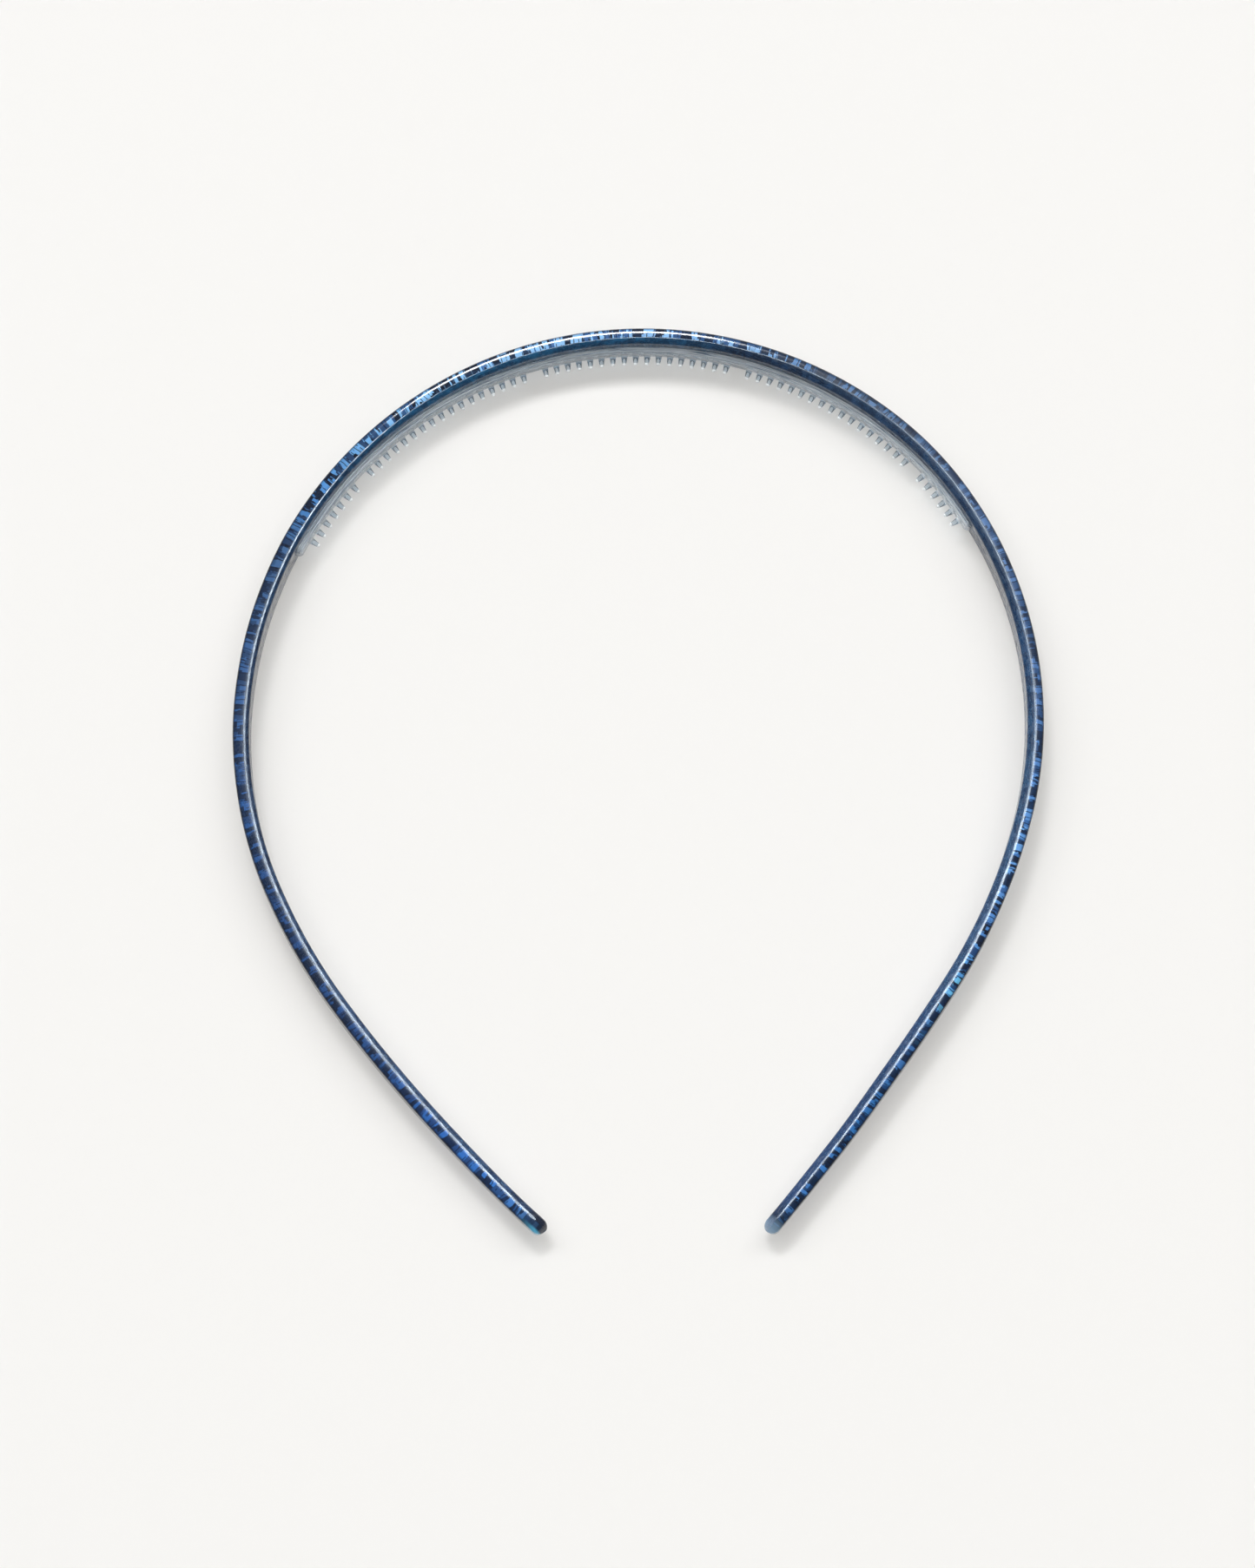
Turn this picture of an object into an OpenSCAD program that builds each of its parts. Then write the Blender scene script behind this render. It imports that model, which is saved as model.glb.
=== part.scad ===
// Slim headband of two laminated acetate layers with an inset comb strip.
// The band lies on one long edge: +Z runs across its width, +Y points from
// the tips to the crown and +X points to the right-hand leg. The origin is
// the centre of the footprint, on the resting plane. Millimetres.
//
// Each leg is a chain of arcs that start at the middle of the crown and stay
// tangent to each other. Directions along a leg are given as the angle that
// the band has turned since the crown.

/* [Band] */
// Width of the band, from one long edge to the other
band_w = 8; // [6:0.5:12]
// Thickness of the band, both layers together
band_t = 2.45; // [2.2:0.05:3]
// Radius of all four long edges and of the rims of the tips
edge_r = 0.9; // [0.5:0.05:1]
// Width left at the ends of the tips
tip_w = 4; // [3:0.25:8]
// Length over which the width narrows towards the tips
taper_len = 60; // [20:1:70]

/* [Left leg] */
// Outer radius from the middle of the crown to below the left temple
left_crown_r = 60.7; // [56:0.1:66]
// Angle of that arc
left_crown_a = 113.6; // [105:0.1:118]
// Outer radius of the turn behind the left ear
left_ear_r = 84.5; // [75:0.5:100]
// Angle of that turn
left_ear_a = 13; // [8:0.5:18]
// Outer radius of the nearly straight lower leg
left_low_r = 223; // [180:1:400]
// Angle of the lower leg, which sets where the tip ends
left_low_a = 11.5; // [6:0.1:14]

/* [Right leg] */
// Outer radius at the crown
right_crown_r = 60.6; // [56:0.1:66]
// Angle of the crown arc
right_crown_a = 39.2; // [35:0.1:43]
// Outer radius of the tighter shoulder
right_shoulder_r = 53.2; // [50:0.1:58]
// Angle of the shoulder
right_shoulder_a = 15.6; // [12:0.1:18]
// Outer radius beside the right temple
right_side_r = 60.1; // [56:0.1:66]
// Angle of the side arc
right_side_a = 50.2; // [46:0.1:54]
// Outer radius of the turn behind the right ear
right_ear_r = 86; // [78:0.5:100]
// Angle of that turn
right_ear_a = 18; // [14:0.5:22]
// Outer radius of the nearly straight lower leg
right_low_r = 330; // [250:1:500]
// Angle of the lower leg, which sets where the tip ends
right_low_a = 7.7; // [4:0.1:10]

/* [Comb strip] */
// Width of the strip
strip_w = 3; // [2.4:0.1:4]
// Height of the strip above the band's inner face
strip_t = 0.8; // [0.6:0.05:1]
// Depth of the channel that the strip is seated in
seat_d = 0.35; // [0.2:0.05:0.5]
// Rounding of the strip's long edges
strip_r = 0.3; // [0.15:0.05:0.3]
// Angle at which the strip's foot ends on the left leg
strip_left_a = 61.7; // [58:0.1:66]
// Angle at which the strip's foot ends on the right leg
strip_right_a = 58.8; // [56:0.1:64]
// Angle of free channel past each end of the foot
pocket_a = 0.4; // [0.2:0.1:0.6]
// Clearance between the strip's foot and the sides of the channel
seat_clear = 0.05; // [0.02:0.01:0.1]

/* [Teeth] */
// Spacing of the teeth, along the outer face
tooth_pitch = 1.82; // [1.815:0.005:1.86]
// Offset of the middle tooth from the crown, along the outer face
tooth_shift = -1.2; // [-2:0.1:-0.8]
// Length of a tooth below the strip
tooth_len = 1.65; // [1:0.05:2.5]
// Diameter at the root
tooth_root_d = 1; // [0.8:0.05:1.1]
// Diameter at the rounded tip
tooth_tip_d = 0.6; // [0.4:0.05:0.7]
// Diameter of the flare that joins a tooth to the strip
tooth_flare_d = 1.45; // [1.2:0.05:1.6]
// Lean of the teeth towards the left leg, in degrees
tooth_lean = 3; // [0:1:8]
// Teeth in each full group; one tooth is left out between groups
tooth_group = 17; // [17]

/* [Hidden] */
eps = 0.01;

// The two layers are equal, so their joint runs along the middle
outer_t = band_t / 2;

// Arcs of each leg from the crown down, as [outer radius, angle]
left_arcs = [[left_crown_r, left_crown_a], [left_ear_r, left_ear_a],
             [left_low_r, left_low_a]];
right_arcs = [[right_crown_r, right_crown_a],
              [right_shoulder_r, right_shoulder_a],
              [right_side_r, right_side_a], [right_ear_r, right_ear_a],
              [right_low_r, right_low_a]];

// Length of an arc, and the length and turned angle before arc i
function arc_len(arc) = arc[0] * arc[1] * PI / 180;
function run_len(arcs, i) =
    i == 0 ? 0 : run_len(arcs, i - 1) + arc_len(arcs[i - 1]);
function turned(arcs, i) = i == 0 ? 0 : turned(arcs, i - 1) + arcs[i - 1][1];
function full_turn(arcs) = turned(arcs, len(arcs));

// Outward direction after a turn of a degrees
function out(a) = [sin(a), cos(a)];

// Point of the outer face before arc i, and the centre of arc i
function joint_at(arcs, i) = i == 0 ? [0, 0] : joint_at(arcs, i - 1)
    + arcs[i - 1][0] * (out(turned(arcs, i)) - out(turned(arcs, i - 1)));
function centre(arcs, i) =
    joint_at(arcs, i) - arcs[i][0] * out(turned(arcs, i));

// Arc that holds the angle a, and the point d outside the outer face there
function arc_at(arcs, a, i = 0) =
    i == len(arcs) - 1 || a <= turned(arcs, i + 1) ? i : arc_at(arcs, a, i + 1);
function point_at(arcs, a, d = 0) = let (i = arc_at(arcs, a))
    centre(arcs, i) + (arcs[i][0] + d) * out(a);

// Turned angle at the length s from the crown
function angle_at(arcs, s, i = 0) =
    i == len(arcs) - 1 || s < run_len(arcs, i + 1)
        ? turned(arcs, i) + (s - run_len(arcs, i)) / arcs[i][0] * 180 / PI
        : angle_at(arcs, s, i + 1);

// Length from the crown at the turned angle a
function len_at(arcs, a) = let (i = arc_at(arcs, a))
    run_len(arcs, i) + (a - turned(arcs, i)) * arcs[i][0] * PI / 180;

// Widest point of a leg, and the lowest point of its rounded tip
function widest(arcs) = max([for (i = [0:len(arcs) - 1])
    turned(arcs, i) <= 90 && turned(arcs, i + 1) >= 90
        ? centre(arcs, i)[0] + arcs[i][0] : 0]);
function lowest(arcs) =
    point_at(arcs, full_turn(arcs), -band_t / 2)[1] - band_t / 2;

shift_x = (widest(left_arcs) - widest(right_arcs)) / 2;
shift_y = -min(lowest(left_arcs), lowest(right_arcs)) / 2;

// Tooth numbers. The strip reaches one to two teeth past the last ones,
// and one tooth is left out at each end of each full group.
gap = (tooth_group + 1) / 2;
tooth_first = ceil((-len_at(left_arcs, strip_left_a) - tooth_shift)
    / tooth_pitch + 0.4);
tooth_last = floor((len_at(right_arcs, strip_right_a) - tooth_shift)
    / tooth_pitch - 0.4);
tooth_numbers = [for (j = [tooth_first:tooth_last])
    if (abs(j) != gap && abs(j) != 3 * gap) j];

// Moves in steps of 1, 0.001 and the rest, so that the arcs meet closely
module fine(v) {
    whole = [for (x = v) round(x)];
    part = [for (i = [0, 1]) round((v[i] - whole[i]) * 1000) / 1000];
    rest = [for (i = [0, 1]) v[i] - whole[i] - part[i]];
    translate(concat(whole, 0)) translate(concat(part, 0))
        translate(concat(rest, 0)) children();
}

// Cross-sections. x is the distance from the outer face, negative towards
// the head, and y is the height above the resting plane.
module band_section() {
    translate([-band_t + edge_r, 0]) square([band_t - 2 * edge_r, band_w]);
    translate([-band_t, edge_r]) square([band_t, band_w - 2 * edge_r]);
    for (x = [-band_t + edge_r, -edge_r], y = [edge_r, band_w - edge_r])
        translate([x, y]) circle(edge_r, $fn = 48);
}

module outer_section() intersection() {
    band_section();
    translate([-outer_t, -1]) square([outer_t + 1, band_w + 2]);
}

module inner_section() difference() {
    band_section();
    translate([-outer_t, -1]) square([outer_t + 1, band_w + 2]);
}

module strip_section() {
    x0 = -band_t - strip_t;
    y0 = (band_w - strip_w) / 2;
    translate([x0 + strip_r, y0]) square([strip_t + seat_d - strip_r, strip_w]);
    translate([x0, y0 + strip_r])
        square([2 * strip_r, strip_w - 2 * strip_r]);
    for (y = [y0 + strip_r, y0 + strip_w - strip_r])
        translate([x0 + strip_r, y]) circle(strip_r, $fn = 48);
}

module channel_section()
    translate([-band_t - 1, (band_w - strip_w) / 2 - seat_clear])
        square([1 + seat_d, strip_w + 2 * seat_clear]);

// One leg's sweep of a section, from the crown to the turned angle to
module leg_sweep(arcs, to) for (i = [0:len(arcs) - 1]) {
    lo = turned(arcs, i);
    hi = min(to, turned(arcs, i + 1));
    if (hi - lo > eps)
        fine(centre(arcs, i))
            rotate_extrude(angle = hi - lo, start = 90 - hi, $fn = 720)
                translate([arcs[i][0], 0]) children();
}

// Sweep of a section from an angle on the left leg to one on the right
module sweep(left, right) {
    leg_sweep(right_arcs, right) children();
    mirror([1, 0, 0]) leg_sweep(left_arcs, left) children();
}

// Part of a turn of a section about the line that stands at the depth d in
// the band, at the turned angle a: from is 0 outward and 180 towards the head
module turn_at(arcs, a, d, from, angle) fine(point_at(arcs, a, -d))
    rotate_extrude(angle = angle, start = 90 - a - from - angle, $fn = 96)
        children();

// Half of the band's section, measured from the middle of its thickness
module half_section() intersection() {
    translate([band_t / 2, 0]) band_section();
    square([band_t, band_w]);
}

// The rounded tips, a quarter of a turn for each layer
module tips(from) {
    turn_at(right_arcs, full_turn(right_arcs), band_t / 2, from, 90)
        half_section();
    mirror([1, 0, 0])
        turn_at(left_arcs, full_turn(left_arcs), band_t / 2, from, 90)
            half_section();
}

// Proud part of the strip's section, measured from the band's inner face
module proud_section() intersection() {
    mirror([1, 0]) translate([band_t, 0]) strip_section();
    square([strip_t + 1, band_w]);
}

// Noses that carry the strip's proud part down to the band's inner face
module noses() {
    turn_at(right_arcs, strip_right_a, band_t, 90, 90) proud_section();
    mirror([1, 0, 0])
        turn_at(left_arcs, strip_left_a, band_t, 90, 90) proud_section();
}

// One tooth about its own axis, with its root on the plane z = 0
module tooth() rotate_extrude($fn = 32) {
    tip_r = tooth_tip_d / 2;
    flare = (tooth_flare_d - tooth_root_d) / 2;
    polygon([[0, -0.25], [tooth_flare_d / 2, -0.25], [tooth_flare_d / 2, -0.05],
             [tooth_root_d / 2, flare], [tip_r, tooth_len - tip_r],
             [0, tooth_len - tip_r]]);
    intersection() {
        translate([0, tooth_len - tip_r]) circle(tip_r, $fn = 32);
        translate([0, tooth_len - tip_r - eps]) square([tip_r, tip_r + 1]);
    }
}

// Stands its children on the strip's inner face at the length s of a leg,
// pointing to the head and leaning by the angle lean towards the leg's tip
module on_strip(arcs, s, lean) let (a = angle_at(arcs, s))
    translate(concat(point_at(arcs, a, -band_t - strip_t), band_w / 2))
        rotate([0, 0, 90 - a]) rotate([0, -90, lean]) children();

// Puts the origin at the centre of the footprint
module centred() translate([shift_x, shift_y, 0]) children();

// Wedges that narrow the legs evenly from both long edges, down to the tips
module tapers() {
    rise = (band_w - tip_w) / 2;
    from = taper_len - shift_y;
    to = from - 1.1 * taper_len;
    for (side = [0, 1])
        translate([0, 0, side * band_w]) mirror([0, 0, side])
            rotate([90, 0, 90]) linear_extrude(200, center = true)
                polygon([[from, 0], [from, -1], [to, -1], [to, 1.1 * rise]]);
}

// Patterned outer layer
module outer_ply() color("royalblue") difference() {
    centred() {
        sweep(full_turn(left_arcs), full_turn(right_arcs)) outer_section();
        tips(0);
    }
    tapers();
}

// Pearl inner layer with the channel for the comb
module inner_ply() color("midnightblue") difference() {
    centred() {
        sweep(full_turn(left_arcs), full_turn(right_arcs)) inner_section();
        tips(90);
    }
    centred() sweep(strip_left_a + pocket_a, strip_right_a + pocket_a)
        channel_section();
    tapers();
}

// Clear comb strip with its teeth
module comb_strip() color("lightcyan") centred() {
    sweep(strip_left_a, strip_right_a) strip_section();
    noses();
    for (j = tooth_numbers) let (s = tooth_shift + j * tooth_pitch)
        if (s >= 0) on_strip(right_arcs, s, -tooth_lean) tooth();
        else mirror([1, 0, 0]) on_strip(left_arcs, -s, tooth_lean) tooth();
}

outer_ply();
inner_ply();
comb_strip();
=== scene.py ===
import bpy
import math
import random
import numpy as np
from mathutils import Matrix, Vector


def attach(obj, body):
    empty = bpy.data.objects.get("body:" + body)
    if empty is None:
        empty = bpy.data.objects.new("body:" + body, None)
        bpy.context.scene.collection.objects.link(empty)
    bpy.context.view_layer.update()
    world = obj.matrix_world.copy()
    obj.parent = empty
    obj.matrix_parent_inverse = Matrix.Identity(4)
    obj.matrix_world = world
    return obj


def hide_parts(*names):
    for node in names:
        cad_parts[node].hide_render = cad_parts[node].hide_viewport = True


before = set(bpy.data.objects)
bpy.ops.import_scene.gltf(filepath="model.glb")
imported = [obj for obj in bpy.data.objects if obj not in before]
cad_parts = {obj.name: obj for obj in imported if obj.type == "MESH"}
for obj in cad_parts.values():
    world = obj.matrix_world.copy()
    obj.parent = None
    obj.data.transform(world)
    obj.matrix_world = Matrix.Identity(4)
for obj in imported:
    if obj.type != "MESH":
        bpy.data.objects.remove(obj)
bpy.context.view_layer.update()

# ------------------------------------------------------------------ sizes (mm)
WIDTH = 8.0            # band width, standing on its edge
THICK = 2.45           # band thickness
CROWN = 0.70           # how far the side edges are crowned
LEFT = [(60.7, 113.6), (84.5, 13.0), (223.0, 11.5)]
RIGHT = [(60.6, 39.2), (53.2, 15.6), (60.1, 50.2), (86.0, 18.0), (330.0, 7.7)]
SHIFT = (0.7806, 67.4446)
TIP = 1.225            # how far a tip's rounding runs past the last arc
STRIP_W, STRIP_T, SEAT = 3.0, 0.8, 0.35
PITCH, FIRST, LAST, ALONG = 1.82, -34, 33, -1.2
MISSING = (-27, -9, 9, 27)
TOOTH_L, ROOT_R, END_R, FLARE = 1.65, 0.5, 0.3, 0.225
LEAN = math.radians(3.0)
MM = 0.001


# ------------------------------------------------------------------ centreline
def arc_len(arcs):
    return sum(r * math.radians(a) for r, a in arcs)


S_LEFT, S_RIGHT = arc_len(LEFT), arc_len(RIGHT)


def foot(s):
    """Outer-face point, outward normal and tangent (towards +s) at arc length s."""
    arcs, side = (RIGHT, 1.0) if s >= 0 else (LEFT, -1.0)
    left, turned = abs(s), 0.0
    cx, cy, r0 = 0.0, -arcs[0][0], arcs[0][0]
    for k, (r, a) in enumerate(arcs):
        ar = math.radians(a)
        if k:
            n = (math.sin(turned), math.cos(turned))
            cx += (r0 - r) * n[0]
            cy += (r0 - r) * n[1]
        r0 = r
        if left <= r * ar or k == len(arcs) - 1:
            t = turned + left / r
            break
        left -= r * ar
        turned += ar
    n = (math.sin(t), math.cos(t))
    x, y = cx + r0 * n[0], cy + r0 * n[1]
    return (side * x + SHIFT[0], y + SHIFT[1]), (side * n[0], n[1]), (n[1], -side * n[0])


def smooth_steps(s, table):
    """Value at s from a table of (s, value), eased between its rows."""
    if s <= table[0][0]:
        return table[0][1]
    for (s0, v0), (s1, v1) in zip(table[:-1], table[1:]):
        if s <= s1:
            t = (s - s0) / (s1 - s0)
            t = t * t * (3 - 2 * t)
            return v0 + (v1 - v0) * t
    return table[-1][1]


# where the lamination seam lies across the edge, as a share of the thickness
SEAM = [(-184, 0.60), (-150, 0.63), (-100, 0.64), (-60, 0.66), (-20, 0.63), (10, 0.58),
        (30, 0.52), (55, 0.46), (90, 0.49), (120, 0.52), (180, 0.55)]


def ease(x, lo, hi):
    t = min(max((x - lo) / (hi - lo), 0.0), 1.0)
    return t * t * (3 - 2 * t)


def half_width(y):
    """Half the band's width at a height y (mm) on the page: it narrows towards the tips."""
    t = -7.44 - y
    if t <= -4:
        cut = 0.0
    elif t < 4:
        cut = (t + 4) ** 2 / 16
    else:
        cut = t
    return WIDTH / 2 - cut / 30


def thickness(s):
    """The legs are polished a little thinner below the ears."""
    return THICK - (0.03 * ease(-s, 112, 150) if s < 0 else 0.05 * ease(s, 150, 165))


def lift(s):
    """How far the lower legs and the tips stand out from their arcs."""
    if s < 0:
        dip = -0.09 * ease(-s, 64, 74) * (1 - ease(-s, 84, 97))
        return dip + 0.10 * ease(-s, 97, 118) + 0.16 * ease(-s, 120, 150) + 0.20 * ease(-s, 165, 184)
    return 0.06 * ease(s, 120, 150) + 0.16 * ease(s, 150, 165) + 0.12 * ease(s, 168, 182)


def tip_round(u):
    """Share of the half width kept at a distance u from the very end: a round end."""
    x = min(max(u / 2.1, 0.0), 1.0)
    return max(0.30, math.sqrt(1 - (1 - x) ** 2))


# ------------------------------------------------------------------ mesh maker
def make_mesh(name, verts, faces, coords, smooth_angle=35.0):
    me = bpy.data.meshes.new(name)
    me.from_pydata([tuple(v) for v in verts], [], faces)
    me.update()
    at = me.attributes.new("sdz", 'FLOAT_VECTOR', 'POINT')
    at.data.foreach_set("vector", np.asarray(coords, dtype=np.float32).ravel())
    ob = bpy.data.objects.new(name, me)
    bpy.context.scene.collection.objects.link(ob)
    import bmesh
    bm = bmesh.new()
    bm.from_mesh(me)
    bmesh.ops.remove_doubles(bm, verts=bm.verts, dist=1.5e-6)
    bmesh.ops.dissolve_degenerate(bm, dist=1e-7, edges=bm.edges)
    bmesh.ops.recalc_face_normals(bm, faces=bm.faces)
    bm.to_mesh(me)
    bm.free()
    for p in me.polygons:
        p.use_smooth = True
    me.set_sharp_from_angle(angle=math.radians(smooth_angle))
    me.update()
    return ob


def place(s, d, z, du=0.0):
    """Point at arc length s, depth d below the outer face, height z, pushed du along +s."""
    (x, y), n, t = foot(s)
    d -= lift(s)
    return ((x - d * n[0] + du * t[0]) * MM, (y - d * n[1] + du * t[1]) * MM, z * MM)


def crown_drop(q, p):
    """How far the crowned edge has fallen at a share q (0 at the face, 1 at the seam)."""
    return CROWN * (1 - max(0.0, 1 - (1 - q) ** p) ** (1 / p))


def sweep_ply(name, outer):
    """One ply of the band: a closed section carried along the arcs, with rounded tips."""
    clear = 0.004
    n_crown, n_face, bevel = 16, 6, 0.035
    # a section point is (q, side, drop, share, channel): q runs from 0 at the face to 1 at the
    # seam; its height is side * (half width - drop) where share is None, or share of the flat face
    upper = []
    for i in range(n_crown):
        q = (1 - math.cos(math.pi * i / n_crown)) / 2
        upper.append((q, -1.0))                    # -1: worked out at each station
    upper += [(1 - bevel * 0.8, 0.0), (1 - 0.002, bevel * 1.2)]
    section = [(q, 1, drop, None, 0) for q, drop in upper]
    section += [(q, -1, drop, None, 0) for q, drop in upper[::-1]]
    chan = STRIP_W / 2 + 0.05
    if outer:
        section += [(0.0, 0, 0, -1 + 2 * (i + 1) / n_face, 0) for i in range(n_face - 1)]
    else:
        flat = WIDTH / 2 - CROWN
        inner_pts = [(-(flat + chan) / 2, 0), (-chan, 0), (-chan, 1), (0.0, 1), (chan, 1), (chan, 0),
                     ((flat + chan) / 2, 0)]
        section += [(0.0, 0, 0, w / flat, c) for w, c in inner_pts]
    m = len(section)

    s_a, s_b = -65.75, 60.25                      # ends of the comb's channel
    stations = []
    n_l, n_r = int(S_LEFT / 0.5), int(S_RIGHT / 0.5)
    plain = [-S_LEFT + S_LEFT * i / n_l for i in range(n_l)] + [S_RIGHT * i / n_r for i in range(n_r + 1)]
    tips_n = 10
    for i in range(tips_n, 0, -1):
        stations.append((-S_LEFT, math.pi / 2 * i / tips_n, 0.0))
    depth = 0.0 if outer else SEAT + 0.03
    for s in plain:
        if not outer:
            for edge, before, after in ((s_a, 0.0, 1.0), (s_b, 1.0, 0.0)):
                if stations and stations[-1][0] < edge <= s:
                    stations.append((edge, 0.0, before))
                    stations.append((edge, 0.0, after))
        inside = 1.0 if s_a < s < s_b else 0.0
        stations.append((s, 0.0, inside))
    for i in range(1, tips_n + 1):
        stations.append((S_RIGHT, math.pi / 2 * i / tips_n, 0.0))

    verts, coords = [], []
    for s, phi, chn in stations:
        thick = thickness(s)
        seam = thick * smooth_steps(s, SEAM)
        own = seam if outer else thick - seam      # this ply's thickness here
        sign = -1.0 if s < 0 else 1.0
        h = half_width(foot(s)[0][1])
        p = 2.0                                    # how round the crowned edge is
        if not outer:
            p += 0.8 * ease(-s, 50, 78) * (1 - 0.6 * ease(-s, 135, 165)) - 0.4 * (1 - ease(abs(s), 35, 60))
        end = (S_LEFT if s < 0 else S_RIGHT) + TIP
        for q, side, drop, share, c in section:
            r = own * (1 - q)                      # distance from the seam
            if c and chn:
                r -= depth
            radial, du = r * math.cos(phi), TIP * (1 - q) * math.sin(phi)
            d = seam - radial if outer else seam + radial
            d += -clear / 2 if outer else clear / 2
            k = tip_round(end - abs(s) - du)
            fall = crown_drop(q, p) if drop < 0 else drop
            dz = side * (h - fall) if share is None else share * (h - CROWN)
            zz = WIDTH / 2 + dz * k
            verts.append(place(s, d, zz, sign * du))
            coords.append((s + sign * du, d, zz))
    faces = []
    n = len(stations)
    for i in range(n - 1):
        for j in range(m):
            a, b = i * m + j, i * m + (j + 1) % m
            faces.append((a, b, b + m, a + m))
    faces.append(tuple(range(m - 1, -1, -1)))
    faces.append(tuple(range((n - 1) * m, n * m)))
    return make_mesh(name, verts, faces, coords)


def make_comb(name):
    """The clear comb: grooved strip, flared tapering teeth, one closed skin."""
    T = THICK
    zc = WIDTH / 2
    hw = STRIP_W / 2
    rc = 0.28
    nz = 6
    ring_n = 4 * nz
    s_a, s_b = -65.36, 60.14                       # the strip's full section
    nose = 0.8
    # breaks along s: every tooth cell is cut in nz parts
    cells, breaks = [], []
    for j in range(FIRST, LAST + 1):
        s0 = PITCH * j + ALONG
        lo, hi = max(s0 - PITCH / 2, s_a), min(s0 + PITCH / 2, s_b)
        cells.append((s0, lo, hi, j not in MISSING))
        breaks += [lo + (hi - lo) * i / nz for i in range(nz)]
    first_s, last_s = cells[0][1], cells[-1][2]
    breaks.append(last_s)
    if first_s - s_a > 0.02:
        breaks = [s_a] + breaks
    if s_b - last_s > 0.02:
        breaks.append(s_b)
    # side wall of the section from the inner face's edge down to the seat: (height over T, z)
    side = []
    for i in range(1, 6):
        a = math.pi / 2 * i / 5
        side.append((STRIP_T - rc * (1 - math.cos(a)), hw - rc * (1 - math.sin(a))))
    g_mid, g_half, g_deep = 0.30, 0.13, 0.16
    side += [(g_mid + g_half + 0.03, hw), (g_mid + g_half * 0.75, hw - g_deep * 0.45),
             (g_mid + g_half * 0.35, hw - g_deep * 0.92), (g_mid, hw - g_deep),
             (g_mid - g_half * 0.35, hw - g_deep * 0.92), (g_mid - g_half * 0.75, hw - g_deep * 0.45),
             (g_mid - g_half - 0.03, hw), (0.02, hw), (-SEAT + 0.04, hw), (-SEAT, hw - 0.04)]
    rim = [(STRIP_T, -(hw - rc) + 2 * (hw - rc) * i / nz) for i in range(nz + 1)]   # inner face points
    top = side
    bottom = [(h, -z) for h, z in side][::-1]
    seat = [(-SEAT, 0.5), (-SEAT, -0.5)]
    loop = rim + top + seat + bottom
    m = len(loop)

    def at_nose(u):
        """Share of the strip's height kept at a distance u past the full section."""
        x = min(max(u / nose, 0.0), 1.0)
        return math.sqrt(max(0.0, 1 - x * x))

    stations = []
    for i in range(8, 0, -1):
        a = math.pi / 2 * i / 8
        stations.append((s_a - nose * math.sin(a), nose * math.sin(a)))
    stations += [(s, 0.0) for s in breaks]
    for i in range(1, 9):
        a = math.pi / 2 * i / 8
        stations.append((s_b + nose * math.sin(a), nose * math.sin(a)))

    verts, coords, faces = [], [], []

    def add(p, c):
        verts.append(p)
        coords.append(c)
        return len(verts) - 1

    for s, u in stations:
        k = at_nose(u)
        kz = 1 - 0.28 * (u / nose) ** 2.5 if u > 0 else 1.0
        for h, z in loop:
            hh = h * k if h > 0 else h * max(k, 0.05) ** 0.5
            add(place(s, T + hh, zc + z * kz), (s, T + hh, zc + z * kz))
    n = len(stations)
    cell_rows = {}
    for i in range(n - 1):
        in_cells = stations[i][1] == 0 and stations[i + 1][1] == 0 and first_s - 1e-6 <= stations[i][0] and stations[i + 1][0] <= last_s + 1e-6
        for j in range(m):
            if j < nz and in_cells:
                continue                          # the inner face is laid cell by cell
            a, b = i * m + j, i * m + (j + 1) % m
            faces.append((a, b, b + m, a + m))
    faces.append(tuple(range(m - 1, -1, -1)))
    faces.append(tuple(range((n - 1) * m, n * m)))

    base = next(i for i, st in enumerate(stations) if abs(st[0] - first_s) < 1e-6 and st[1] == 0)
    for ci, (s0, lo, hi, toothed) in enumerate(cells):
        i0 = base + ci * nz
        grid = [[(i0 + i) * m + j for j in range(nz + 1)] for i in range(nz + 1)]
        if not toothed:
            for i in range(nz):
                for j in range(nz):
                    faces.append((grid[i][j], grid[i][j + 1], grid[i + 1][j + 1], grid[i + 1][j]))
            continue
        border = [grid[i][0] for i in range(nz)] + [grid[nz][j] for j in range(nz)]
        border += [grid[nz - i][nz] for i in range(nz)] + [grid[0][nz - j] for j in range(nz)]
        angles = []
        for k in range(ring_n):
            v = border[k]
            ds, dz = coords[v][0] - s0, coords[v][2] - zc
            angles.append(math.atan2(dz / (hw - rc), ds / (PITCH / 2)))
        (px, py), nn, tt = foot(s0)
        o = np.array([(px - (T + STRIP_T) * nn[0]), (py - (T + STRIP_T) * nn[1]), zc])
        ax = np.array([-nn[0] * math.cos(LEAN) - tt[0] * math.sin(LEAN),
                       -nn[1] * math.cos(LEAN) - tt[1] * math.sin(LEAN), 0.0])
        side_v = np.array([-ax[1], ax[0], 0.0])
        if side_v[0] * tt[0] + side_v[1] * tt[1] < 0:
            side_v = -side_v
        up_v = np.array([0.0, 0.0, 1.0])
        rings = []
        body = TOOTH_L - END_R
        prof = []
        r_out = ROOT_R + FLARE
        for k in range(5):
            a = math.pi / 2 * k / 4
            prof.append((FLARE * (1 - math.cos(a)), r_out - FLARE * math.sin(a)))
        for k in range(1, 6):
            x = k / 5
            prof.append((FLARE + (body - FLARE) * x, ROOT_R + (END_R - ROOT_R) * x))
        for k in range(1, 5):
            a = math.pi / 2 * k / 5
            prof.append((body + END_R * math.sin(a), END_R * math.cos(a)))
        for hgt, r in prof:
            ring = []
            for k in range(ring_n):
                a = angles[k]
                if hgt == 0.0:
                    p = place(s0 + r * math.cos(a), T + STRIP_T, zc + r * math.sin(a))
                    q = (s0 + r * math.cos(a), T + STRIP_T, zc + r * math.sin(a))
                else:
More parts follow.
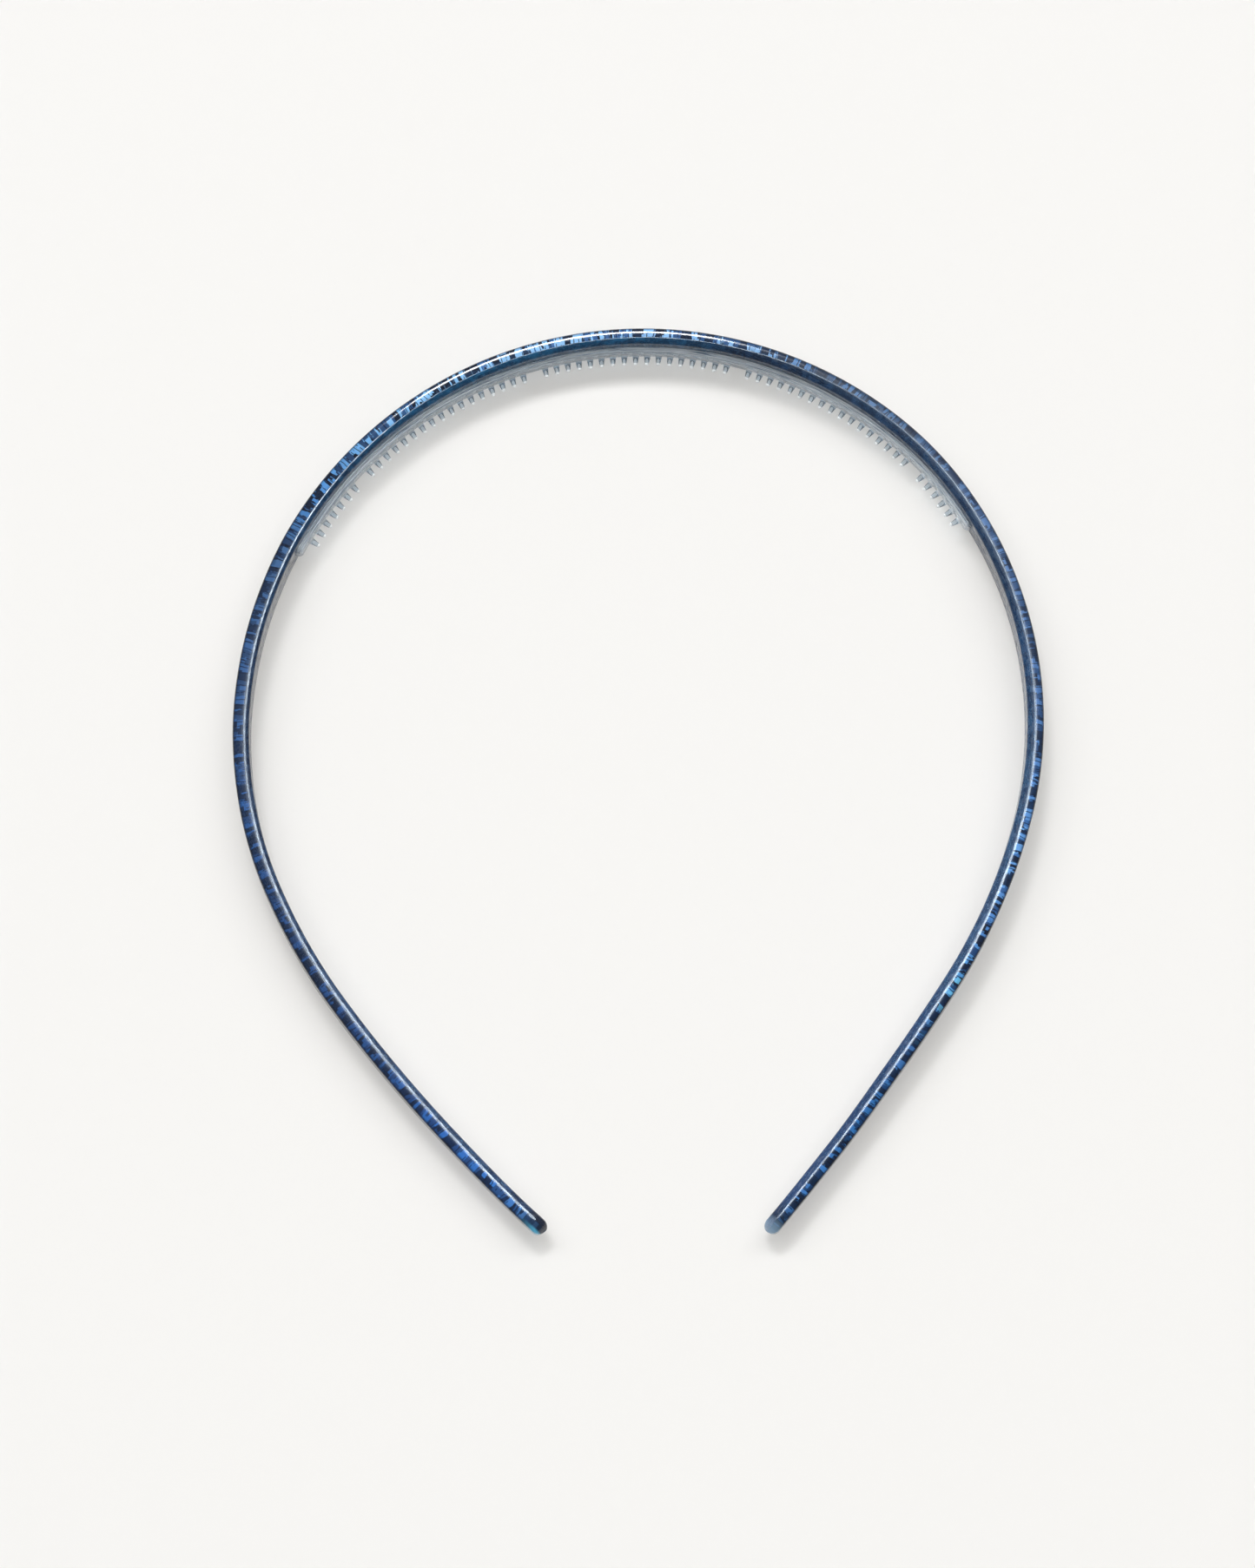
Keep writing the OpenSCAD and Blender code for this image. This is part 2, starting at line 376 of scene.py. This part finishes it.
                    w = o + ax * hgt + side_v * r * math.cos(a) + up_v * r * math.sin(a)
                    p = tuple(float(c) * MM for c in w)
                    q = (s0 + r * math.cos(a), T + STRIP_T + hgt, zc + r * math.sin(a))
                ring.append(add(p, q))
            rings.append(ring)
        w = o + ax * TOOTH_L
        apex = add(tuple(float(c) * MM for c in w), (s0, T + STRIP_T + TOOTH_L, zc))
        allr = [border] + rings
        for r0, r1 in zip(allr[:-1], allr[1:]):
            for k in range(ring_n):
                k2 = (k + 1) % ring_n
                faces.append((r0[k], r0[k2], r1[k2], r1[k]))
        for k in range(ring_n):
            faces.append((rings[-1][k], rings[-1][(k + 1) % ring_n], apex))
    return make_mesh(name, verts, faces, coords, smooth_angle=50.0)


# ------------------------------------------------------------------ node helpers
class Tree:
    def __init__(self, name):
        self.mat = bpy.data.materials.new(name)
        self.mat.use_nodes = True
        self.nt = self.mat.node_tree
        self.nt.nodes.clear()
        self.out = self.nt.nodes.new("ShaderNodeOutputMaterial")

    def put(self, socket, v):
        if v is None:
            return
        if isinstance(v, bpy.types.NodeSocket):
            self.nt.links.new(v, socket)
        else:
            socket.default_value = v

    def math(self, op, a, b=None, c=None, clamp=False):
        n = self.nt.nodes.new("ShaderNodeMath")
        n.operation = op
        n.use_clamp = clamp
        for i, v in enumerate((a, b, c)):
            self.put(n.inputs[i], v)
        return n.outputs[0]

    def add(self, a, b): return self.math('ADD', a, b)
    def sub(self, a, b): return self.math('SUBTRACT', a, b)
    def mul(self, a, b): return self.math('MULTIPLY', a, b)

    def step(self, x, lo, hi, smooth=True):
        n = self.nt.nodes.new("ShaderNodeMapRange")
        n.interpolation_type = 'SMOOTHSTEP' if smooth else 'LINEAR'
        self.put(n.inputs['Value'], x)
        self.put(n.inputs['From Min'], lo)
        self.put(n.inputs['From Max'], hi)
        n.inputs['To Min'].default_value = 0.0
        n.inputs['To Max'].default_value = 1.0
        return n.outputs['Result']

    def xyz(self, v):
        n = self.nt.nodes.new("ShaderNodeSeparateXYZ")
        self.put(n.inputs[0], v)
        return n.outputs

    def vec(self, x, y, z):
        n = self.nt.nodes.new("ShaderNodeCombineXYZ")
        for i, v in enumerate((x, y, z)):
            self.put(n.inputs[i], v)
        return n.outputs[0]

    def noise(self, v, scale, detail=2.0, rough=0.5, dist=0.0):
        n = self.nt.nodes.new("ShaderNodeTexNoise")
        n.noise_dimensions = '3D'
        self.put(n.inputs['Vector'], v)
        n.inputs['Scale'].default_value = scale
        n.inputs['Detail'].default_value = detail
        n.inputs['Roughness'].default_value = rough
        n.inputs['Distortion'].default_value = dist
        return n.outputs['Fac']

    def voronoi(self, v, scale=1.0, feature='F1', metric='CHEBYCHEV', dims='3D', rnd=1.0, w=None):
        n = self.nt.nodes.new("ShaderNodeTexVoronoi")
        n.voronoi_dimensions = dims
        n.feature = feature
        if feature != 'DISTANCE_TO_EDGE' and dims != '1D':
            n.distance = metric
        if dims == '1D':
            self.put(n.inputs['W'], w)
        else:
            self.put(n.inputs['Vector'], v)
        n.inputs['Scale'].default_value = scale
        n.inputs['Randomness'].default_value = rnd
        return n.outputs

    def ramp(self, fac, stops, mode='LINEAR'):
        n = self.nt.nodes.new("ShaderNodeValToRGB")
        n.color_ramp.interpolation = mode
        e = n.color_ramp.elements
        while len(e) > 1:
            e.remove(e[-1])
        e[0].position = stops[0][0]
        e[0].color = col(stops[0][1])
        for p, c in stops[1:]:
            x = e.new(p)
            x.color = col(c)
        self.put(n.inputs[0], fac)
        return n.outputs[0]

    def mix(self, fac, a, b, mode='MIX'):
        n = self.nt.nodes.new("ShaderNodeMix")
        n.data_type = 'RGBA'
        n.blend_type = mode
        n.clamp_factor = True
        self.put(n.inputs[0], fac)
        self.put(n.inputs[6], col(a) if isinstance(a, tuple) else a)
        self.put(n.inputs[7], col(b) if isinstance(b, tuple) else b)
        return n.outputs[2]

    def fmix(self, fac, a, b):
        n = self.nt.nodes.new("ShaderNodeMix")
        n.data_type = 'FLOAT'
        n.clamp_factor = True
        self.put(n.inputs[0], fac)
        self.put(n.inputs[2], a)
        self.put(n.inputs[3], b)
        return n.outputs[0]


def srgb(v):
    v /= 255.0
    return v / 12.92 if v <= 0.04045 else ((v + 0.055) / 1.055) ** 2.4


def col(c):
    """A colour given as 0-255 screen values or as one grey level from 0 to 1."""
    if isinstance(c, (int, float)):
        return (c, c, c, 1.0)
    if len(c) == 4:
        return c
    return (srgb(c[0]), srgb(c[1]), srgb(c[2]), 1.0)


def along(tree, s, table):
    """A value that changes along the band, from a table of (mm from the crown, 0 to 1)."""
    lo, hi = -186.0, 186.0
    f = tree.math('DIVIDE', tree.sub(s, lo), hi - lo)
    return tree.ramp(f, [((p - lo) / (hi - lo), v) for p, v in table])


# ------------------------------------------------------------------ materials
def tones(tree, s, table):
    """A colour that changes along the band, from a table of (mm from the crown, colour)."""
    lo, hi = -186.0, 186.0
    f = tree.math('DIVIDE', tree.sub(s, lo), hi - lo)
    return tree.ramp(f, [((p - lo) / (hi - lo), (c[0] * 0.80, c[1] * 0.96, min(255, c[2] * 1.06))) for p, c in table])


def plastic(t, colour, rough, bump_scale, bump_strength, bump_depth, sdz, coat, coat_rough):
    bump = t.nt.nodes.new("ShaderNodeBump")
    t.put(bump.inputs['Strength'], bump_strength)
    bump.inputs['Distance'].default_value = bump_depth
    bs, bd, bz = t.xyz(sdz)
    t.put(bump.inputs['Height'], t.noise(t.vec(t.mul(bs, 0.3), bd, t.mul(bz, 0.6)), bump_scale, 2.0))
    p = t.nt.nodes.new("ShaderNodeBsdfPrincipled")
    t.put(p.inputs['Base Color'], colour)
    t.put(p.inputs['Roughness'], rough)
    t.put(p.inputs['Normal'], bump.outputs[0])
    p.inputs['IOR'].default_value = 1.49
    p.inputs['Coat Weight'].default_value = coat
    p.inputs['Coat Roughness'].default_value = coat_rough
    t.nt.links.new(p.outputs[0], t.out.inputs[0])
    return p


def start(name):
    t = Tree(name)
    at = t.nt.nodes.new("ShaderNodeAttribute")
    at.attribute_type = 'GEOMETRY'
    at.attribute_name = "sdz"
    return t, at.outputs['Vector'], t.xyz(at.outputs['Vector'])


def acetate(name):
    """Outer ply: navy acetate with short upright bars and blocks of bright blue."""
    t, sdz, (s, d, z) = start(name)
    # bars wander and lean a little
    wob = t.sub(t.noise(t.vec(t.mul(s, 0.35), t.mul(d, 0.5), t.mul(z, 0.45)), 1.0, 2.0), 0.5)
    lean = t.sub(t.noise(t.vec(t.mul(s, 0.22), 3.0, 7.0), 1.0, 1.0), 0.5)
    sw = t.add(s, t.add(t.mul(wob, 0.55), t.mul(t.mul(lean, t.sub(d, 0.8)), 0.9)))
    big = t.voronoi(t.vec(t.mul(sw, 0.62), t.mul(d, 0.12), t.mul(z, 0.24)), 1.0)
    b1, b2, b3 = t.xyz(big['Color'])
    small = t.voronoi(t.vec(t.mul(sw, 1.7), t.mul(d, 0.30), t.mul(t.add(z, 11.0), 0.40)), 1.0)
    c1, c2, c3 = t.xyz(small['Color'])
    dark = tones(t, s, OUT_DARK)
    mid = tones(t, s, OUT_MID)
    bright = tones(t, s, OUT_BRIGHT)
    # print: blocks of three tones, cut by smaller ones
    drift = t.noise(t.vec(t.mul(s, 0.16), 5.0, t.mul(z, 0.05)), 1.0, 1.0)
    beat = t.math('SINE', t.mul(t.add(t.mul(sw, 0.40), t.mul(drift, 3.0)), 2 * math.pi))
    level = t.add(beat, t.mul(t.sub(b1, 0.5), 1.5))
    is_mid = t.step(b2, 0.50, 0.53)
    is_bright = t.step(level, 0.16, 0.24)
    low = t.mul(t.step(b3, 0.58, 0.60), t.sub(1.0, t.step(d, 0.62, 0.70)))
    is_bright = t.mul(is_bright, t.sub(1.0, low))
    c = t.mix(is_mid, dark, mid)
    c = t.mix(is_bright, c, bright)
    c = t.mix(t.step(c1, 0.88, 0.90), c, bright)
    c = t.mix(t.step(c2, 0.82, 0.84), c, dark)
    # thin upright lines, dark on bright and pale on dark
    fine = t.voronoi(None, 1.15, feature='DISTANCE_TO_EDGE', dims='1D', w=t.add(sw, t.mul(z, 0.03)))
    line = t.sub(1.0, t.step(fine['Distance'], 0.07, 0.10))
    gate = t.noise(t.vec(t.mul(s, 0.8), t.mul(d, 1.0), t.mul(z, 0.6)), 1.0, 1.0)
    darkline = t.mul(line, t.step(gate, 0.44, 0.48))
    c = t.mix(t.mul(darkline, 0.85), c, t.mix(0.5, dark, (10, 14, 22)))
    paleline = t.mul(t.mul(line, t.sub(1.0, t.step(gate, 0.40, 0.46))), along(t, s, PALE_LINES))
    c = t.mix(paleline, c, bright)
    # cloudy depth under the print
    shade = t.noise(t.vec(t.mul(s, 0.6), t.mul(d, 1.4), t.mul(z, 0.6)), 1.0, 3.0)
    c = t.mix(t.mul(t.step(shade, 0.35, 0.75), 0.22), c, mid)
    # painted shade: the turned edge is darkened, as if it saw only the dark of the room
    turn = t.mul(t.sub(1.0, t.step(d, 0.08, 0.45)), 0.75)
    c = t.mix(turn, c, (14, 20, 32))
    # darker just short of both tip ends
    c = t.mix(along(t, s, TIP_END_DARKENING), c, (26, 42, 62))
    # the clear unprinted margin at the right tip end, painted pale as a painted glow of light through it
    c = t.mix(along(t, s, TIP_MARGIN_GLOW), c, (170, 206, 236))
    # painted glow: a bright cyan rim along the outer edge by the left tip
    rim = t.mul(t.sub(1.0, t.step(d, 0.30, 0.75)), along(t, s, PAINTED_RIM_GLOW))
    c = t.mix(rim, c, (96, 196, 236))
    # bright blue chips on the right leg
    chip = t.mul(t.mul(t.step(c3, 0.74, 0.77), t.mul(t.step(d, 0.15, 0.3), t.sub(1.0, t.step(d, 0.85, 1.0)))),
                 along(t, s, CHIPS))
    c = t.mix(chip, c, t.mix(t.step(s, 142.0, 150.0), (112, 196, 240), (60, 140, 224)))
    rough = t.add(along(t, s, SATIN), t.mul(t.noise(t.vec(s, t.mul(d, 3.0), z), 2.2, 3.0), 0.08))
    plastic(t, c, rough, 2.4, 0.2, 0.00006, sdz, 0.3, 0.10)
    return t.mat


def pearl(name):
    """Inner ply: translucent blue acetate with a fine pearly grain."""
    t, sdz, (s, d, z) = start(name)
    dark = tones(t, s, IN_DARK)
    mid = tones(t, s, IN_MID)
    pale = tones(t, s, IN_LIGHT)
    cloud = t.noise(t.vec(t.mul(s, 0.55), t.mul(d, 1.0), t.mul(z, 0.5)), 1.0, 3.0, 0.6)
    grain = t.noise(t.vec(s, t.mul(d, 1.4), z), 3.4, 3.0, 0.7)
    fleck = t.voronoi(t.vec(s, t.mul(d, 1.5), z), 5.0, metric='EUCLIDEAN')
    f1, f2, f3 = t.xyz(fleck['Color'])
    spark = t.mul(t.step(f1, 0.70, 0.86), t.sub(1.0, t.step(fleck['Distance'], 0.16, 0.42)))
    bars = t.voronoi(t.vec(t.mul(s, 0.8), t.mul(d, 0.2), t.mul(z, 0.3)), 1.0)
    g1, g2, g3 = t.xyz(bars['Color'])
    c = t.mix(t.step(cloud, 0.32, 0.62), dark, mid)
    c = t.mix(t.mul(t.step(g1, 0.66, 0.70), 0.75), c, dark)
    c = t.mix(t.mul(t.step(grain, 0.50, 0.72), 0.55), c, pale)
    # pearly flakes painted bright: partly the acetate's own flakes, partly painted glints
    c = t.mix(t.mul(spark, along(t, s, SPARKLE)), c, t.mix(0.6, pale, (150, 205, 235)))
    dash = t.noise(t.vec(t.mul(s, 0.9), t.mul(d, 5.0), t.mul(z, 2.0)), 1.0, 2.0)
    # darker just short of both tip ends, and the painted glow on the clear margin at the right tip end
    c = t.mix(along(t, s, TIP_END_DARKENING), c, (34, 38, 50))
    c = t.mix(along(t, s, TIP_MARGIN_GLOW), c, (180, 208, 236))
    rough = t.add(along(t, s, SATIN), t.mul(t.step(dash, 0.42, 0.66), 0.26))
    plastic(t, c, rough, 3.2, 0.3, 0.00006, sdz, 0.3, 0.10)
    return t.mat


def clear(name):
    """Comb: clear moulded plastic, faintly blue, with moulding ripple; with painted highlights at the tooth tips and
    roots and a painted glow along the strip.
    """
    t, sdz, (s, d, z) = start(name)
    flow = t.noise(t.vec(t.mul(s, 0.10), t.mul(d, 5.0), t.mul(z, 5.0)), 1.0, 2.0)
    streak = t.noise(t.vec(t.mul(s, 0.16), t.mul(d, 7.0), t.mul(z, 2.2)), 1.0, 2.0)
    c = t.mix(t.step(flow, 0.35, 0.65), (222, 236, 247), (236, 245, 252))
    end = THICK + STRIP_T + TOOTH_L
    # painted highlights: a white dot at each tooth tip and a pale arc round each tooth's root
    tip = t.step(d, end - 0.46, end - 0.24)
    root_arc_glint = t.mul(t.step(d, THICK + STRIP_T + 0.01, THICK + STRIP_T + 0.05),
                   t.sub(1.0, t.step(d, THICK + STRIP_T + 0.20, THICK + STRIP_T + 0.34)))
    # the strip painted pale and less clear: a painted glow of light through the clear plastic, with the moulding
    # ripple
    bar = t.sub(1.0, t.step(d, THICK + STRIP_T - 0.1, THICK + STRIP_T + 0.02))
    c = t.mix(t.math('MAXIMUM', tip, root_arc_glint), c, (252, 254, 255))
    c = t.mix(bar, c, t.mix(t.step(flow, 0.38, 0.62), (206, 216, 224), (248, 251, 253)))
    dark = t.mul(bar, t.sub(1.0, t.step(streak, 0.37, 0.45)))
    c = t.mix(t.mul(dark, 0.75), c, (70, 104, 136))
    rough = t.add(t.fmix(t.step(flow, 0.3, 0.7), 0.02, 0.05), t.mul(bar, 0.10))
    bump = t.nt.nodes.new("ShaderNodeBump")
    bump.inputs['Strength'].default_value = 0.08
    bump.inputs['Distance'].default_value = 0.00008
    t.put(bump.inputs['Height'], t.noise(t.vec(t.mul(s, 0.12), t.mul(d, 1.6), t.mul(z, 1.6)), 1.0, 1.0))
    p = t.nt.nodes.new("ShaderNodeBsdfPrincipled")
    t.put(p.inputs['Base Color'], c)
    t.put(p.inputs['Roughness'], rough)
    t.put(p.inputs['Normal'], bump.outputs[0])
    p.inputs['IOR'].default_value = 1.49
    # less clear where the highlights and the glow are painted
    t.put(p.inputs['Transmission Weight'], t.sub(t.sub(0.98, t.add(t.mul(tip, 0.85), t.mul(root_arc_glint, 0.55))), t.mul(bar, 0.50)))
    # lamps shine through it, as through real clear plastic
    thru = t.nt.nodes.new("ShaderNodeBsdfTransparent")
    thru.inputs[0].default_value = (0.76, 0.77, 0.77, 1)
    lp = t.nt.nodes.new("ShaderNodeLightPath")
    mx = t.nt.nodes.new("ShaderNodeMixShader")
    t.nt.links.new(lp.outputs['Is Shadow Ray'], mx.inputs[0])
    t.nt.links.new(p.outputs[0], mx.inputs[1])
    t.nt.links.new(thru.outputs[0], mx.inputs[2])
    t.nt.links.new(mx.outputs[0], t.out.inputs[0])
    return t.mat


OUT_DARK = [(-184, (34, 48, 74)), (-165, (28, 42, 68)), (-139, (34, 42, 60)), (-106, (34, 46, 68)),
            (-80, (34, 46, 68)), (-57, (16, 26, 42)), (-31, (18, 28, 44)), (0, (20, 28, 42)),
            (15, (36, 46, 64)), (33, (46, 52, 66)), (57, (48, 56, 78)), (83, (42, 50, 70)),
            (105, (34, 46, 68)), (126, (26, 32, 50)), (144, (22, 40, 66)), (165, (18, 34, 56)),
            (184, (24, 40, 62))]
OUT_MID = [(-184, (60, 92, 136)), (-165, (46, 74, 120)), (-139, (45, 62, 94)), (-106, (50, 72, 108)),
           (-80, (50, 72, 102)), (-62, (38, 58, 88)), (-46, (40, 66, 98)), (-25, (72, 112, 156)),
           (0, (66, 98, 142)), (15, (66, 90, 124)), (33, (66, 84, 108)), (57, (72, 88, 118)),
           (83, (66, 88, 122)), (100, (56, 80, 116)), (113, (84, 124, 176)), (126, (50, 76, 116)),
           (136, (44, 74, 110)), (156, (32, 70, 112)), (167, (30, 58, 92)), (184, (44, 72, 108))]
# the print's bright tones along the band; from about -44 to 16 mm by the crown they are lighter than the print, a
# painted glow of light through the blocks and a painted haze of highlight
OUT_BRIGHT = [(-184, (110, 150, 200)), (-175, (70, 128, 196)), (-165, (62, 116, 184)), (-150, (54, 86, 132)),
              (-122, (54, 82, 126)), (-106, (60, 98, 148)), (-80, (68, 98, 138)), (-66, (76, 104, 138)),
              (-57, (88, 142, 194)), (-44, (146, 186, 218)), (-20, (182, 206, 230)), (8, (180, 202, 232)),
              (16, (178, 196, 222)), (24, (96, 130, 170)), (44, (98, 118, 146)), (62, (112, 132, 168)),
              (90, (98, 126, 170)), (105, (112, 150, 198)), (113, (140, 178, 222)), (126, (104, 144, 196)),
              (136, (110, 170, 214)), (144, (84, 118, 164)), (160, (60, 120, 172)), (175, (86, 130, 182)),
              (184, (60, 100, 140))]
IN_DARK = [(-184, (40, 48, 70)), (-165, (44, 54, 78)), (-122, (34, 42, 64)), (-92, (26, 36, 56)),
           (-57, (22, 44, 66)), (-20, (24, 60, 84)), (5, (22, 50, 70)), (15, (24, 34, 50)),
           (33, (24, 42, 62)), (57, (32, 46, 68)), (83, (32, 48, 72)), (98, (44, 60, 84)),
           (126, (50, 64, 90)), (144, (40, 62, 92)), (184, (46, 66, 98))]
IN_MID = [(-184, (60, 72, 100)), (-165, (62, 78, 106)), (-122, (56, 70, 96)), (-92, (44, 58, 80)),
          (-57, (36, 68, 94)), (-31, (42, 92, 120)), (0, (38, 86, 114)), (15, (38, 56, 78)),
          (33, (46, 68, 94)), (57, (52, 68, 90)), (70, (50, 64, 84)), (83, (52, 78, 108)),
          (98, (64, 86, 110)), (126, (72, 92, 120)), (144, (52, 70, 102)), (184, (62, 74, 106))]
IN_LIGHT = [(-184, (110, 128, 160)), (-165, (112, 140, 170)), (-122, (96, 116, 146)), (-92, (68, 86, 110)),
            (-57, (58, 98, 128)), (-31, (58, 112, 142)), (0, (54, 108, 138)), (15, (68, 90, 112)),
            (44, (74, 100, 130)), (70, (62, 78, 98)), (83, (78, 112, 144)), (105, (100, 128, 158)),
            (126, (98, 126, 160)), (136, (104, 144, 176)), (156, (66, 98, 140)), (184, (110, 136, 172))]
SATIN = [(-186, 0.10), (-170, 0.14), (-160, 0.22), (-100, 0.24), (-70, 0.14), (-45, 0.08), (15, 0.08),
         (30, 0.28), (90, 0.24), (108, 0.16), (140, 0.16), (160, 0.12), (186, 0.10)]
SPARKLE = [(-186, 0.9), (-120, 0.7), (-90, 0.25), (-60, 0.1), (20, 0.1), (45, 0.35), (70, 0.25), (95, 0.6),
           (140, 0.8), (186, 0.5)]
PALE_LINES = [(-186, 0.0), (-90, 0.0), (-72, 0.7), (-50, 0.7), (-35, 0.2), (10, 0.2), (25, 0.0), (186, 0.0)]
# where along the band the painted rim glow, the darkening short of the tip ends and the painted glow on the right
# tip's margin fall
PAINTED_RIM_GLOW = [(-186, 0.9), (-183.5, 0.9), (-182.9, 0.0), (-170, 0.0), (186, 0.0)]
TIP_END_DARKENING = [(-186, 0.9), (-183, 0.8), (-181, 0.2), (-178, 0.0), (176, 0.0), (178, 0.6), (179.9, 0.75),
         (180.4, 0.2), (186, 0.0)]
TIP_MARGIN_GLOW = [(-186, 0.0), (179.9, 0.0), (180.4, 0.8), (186, 0.9)]
CHIPS = [(-186, 0.0), (131, 0.0), (134, 0.9), (138, 0.9), (141, 0.1), (160, 0.0), (165, 0.25), (172, 0.3),
         (178, 0.0), (186, 0.0)]

# ------------------------------------------------------------------ build
outer = sweep_ply("outer_ply_formed", True)
inner = sweep_ply("inner_ply_formed", False)
comb = make_comb("comb_strip_moulded")
outer.data.materials.append(acetate("patterned_acetate_look"))
inner.data.materials.append(pearl("pearl_acetate_look"))
comb.data.materials.append(clear("clear_plastic_look"))
for ob, node, slot in ((outer, "outer_ply", "patterned_acetate"), (inner, "inner_ply", "pearl_acetate"),
                       (comb, "comb_strip", "clear_plastic")):
    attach(ob, "root")
    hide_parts(node)

# ------------------------------------------------------------------ floor
fme = bpy.data.meshes.new("floor")
R = 3.0
fme.from_pydata([(-R, -R, 0), (R, -R, 0), (R, R, 0), (-R, R, 0)], [], [(0, 1, 2, 3)])
floor = bpy.data.objects.new("floor", fme)
bpy.context.scene.collection.objects.link(floor)
ft = Tree("paper_sweep")
fp = ft.nt.nodes.new("ShaderNodeBsdfPrincipled")
fp.inputs['Base Color'].default_value = (0.58, 0.577, 0.571, 1)
fp.inputs['Emission Color'].default_value = (1.0, 0.968, 0.911, 1)
fp.inputs['Emission Strength'].default_value = 0.329
fp.inputs['Roughness'].default_value = 0.9
fp.inputs['Specular IOR Level'].default_value = 0.1
ft.nt.links.new(fp.outputs[0], ft.out.inputs[0])
fme.materials.append(ft.mat)

# ------------------------------------------------------------------ light
world = bpy.data.worlds.new("studio")
bpy.context.scene.world = world
world.use_nodes = True
wt = world.node_tree
wt.nodes.clear()
wo = wt.nodes.new("ShaderNodeOutputWorld")
bg = wt.nodes.new("ShaderNodeBackground")
bg.inputs[0].default_value = (0.92, 0.96, 1.0, 1)
bg.inputs[1].default_value = 0.16
wt.links.new(bg.outputs[0], wo.inputs[0])


def aim(elev, azim):
    """Unit vector towards a light; azim 0 is +Y, positive towards +X."""
    e, a = math.radians(elev), math.radians(azim)
    return Vector((math.sin(a) * math.cos(e), math.cos(a) * math.cos(e), math.sin(e)))


def sun(name, elev, azim, strength, angle, colour=(1, 1, 1), glossy=True, diffuse=True):
    """A far soft light."""
    li = bpy.data.lights.new(name, 'SUN')
    li.energy = strength
    li.angle = math.radians(angle)
    li.color = colour
    ob = bpy.data.objects.new(name, li)
    bpy.context.scene.collection.objects.link(ob)
    d = aim(elev, azim)
    ob.rotation_euler = d.to_track_quat('Z', 'Y').to_euler()
    ob.location = d * 2
    ob.visible_glossy = glossy
    ob.visible_diffuse = diffuse
    return ob


def window(name, elev, azim, wide, deep, share, colour=(1, 1, 1), dist=6.0):
    """The far, wide softbox that casts the shadows; share is its part of a white floor's light."""
    li = bpy.data.lights.new(name, 'AREA')
    li.shape = 'RECTANGLE'
    li.size = 2 * dist * math.tan(math.radians(wide / 2))
    li.size_y = 2 * dist * math.tan(math.radians(deep / 2))
    li.energy = share * math.pi * math.pi * dist * dist / math.sin(math.radians(elev))
    li.color = colour
    ob = bpy.data.objects.new(name, li)
    bpy.context.scene.collection.objects.link(ob)
    d = aim(elev, azim)
    ob.location = d * dist
    ob.rotation_euler = d.to_track_quat('Z', 'Y').to_euler()
    ob.visible_glossy = False
    return ob


def panel(name, elev, azim, wide, deep, radiance, colour=(1, 1, 1), dist=4.0):
    """A rectangular panel seen only as a gleam, its long side level; sizes in degrees from the part."""
    li = bpy.data.lights.new(name, 'AREA')
    li.shape = 'RECTANGLE'
    li.size = 2 * dist * math.tan(math.radians(wide / 2))
    li.size_y = 2 * dist * math.tan(math.radians(deep / 2))
    li.energy = radiance * li.size * li.size_y * math.pi
    li.color = colour
    ob = bpy.data.objects.new(name, li)
    bpy.context.scene.collection.objects.link(ob)
    z = aim(elev, azim)
    x = (Vector((1, 0, 0)) - z * z.x).normalized()
    ob.location = z * dist
    ob.rotation_euler = Matrix((x, z.cross(x), z)).transposed().to_euler()
    ob.visible_diffuse = False
    return ob


window("key", 60, -17, 13, 9, 0.24)
window("bank", 60, -6, 84, 11, 0.66)
sun("dome", 90, 0, 0.70, 60, colour=(1.0, 0.997, 0.992), glossy=False)
panel("gleam", 43.5, -9, 28, 12, 27.0)
panel("overhead", 83.7, 34, 15, 10.5, 26.0, colour=(0.78, 0.90, 1.0), dist=1.8)

# ------------------------------------------------------------------ camera
target = Vector((-1.60, -0.84, 4.0)) * MM
eye = Vector((-9.1, -172.8, 1054.0)) * MM
cam_data = bpy.data.cameras.new("camera")
cam = bpy.data.objects.new("camera", cam_data)
bpy.context.scene.collection.objects.link(cam)
look = (target - eye).normalized()
dist = (target - eye).length
right = look.cross(Vector((0, 1, 0))).normalized()
up = right.cross(look)
cam.location = eye
cam.rotation_euler = Matrix((right, up, -look)).transposed().to_euler()
cam_data.sensor_fit = 'AUTO'
cam_data.sensor_width = 36.0
cam_data.lens = 36.0 * (dist * 1000 / 0.1285) / 1806.0
cam_data.clip_start = 0.05
cam_data.clip_end = 20
bpy.context.scene.camera = cam
bpy.context.scene.view_settings.view_transform = 'Standard'
bpy.context.scene.view_settings.look = 'None'

# ------------------------------------------------------------------ final update
bpy.context.view_layer.update()
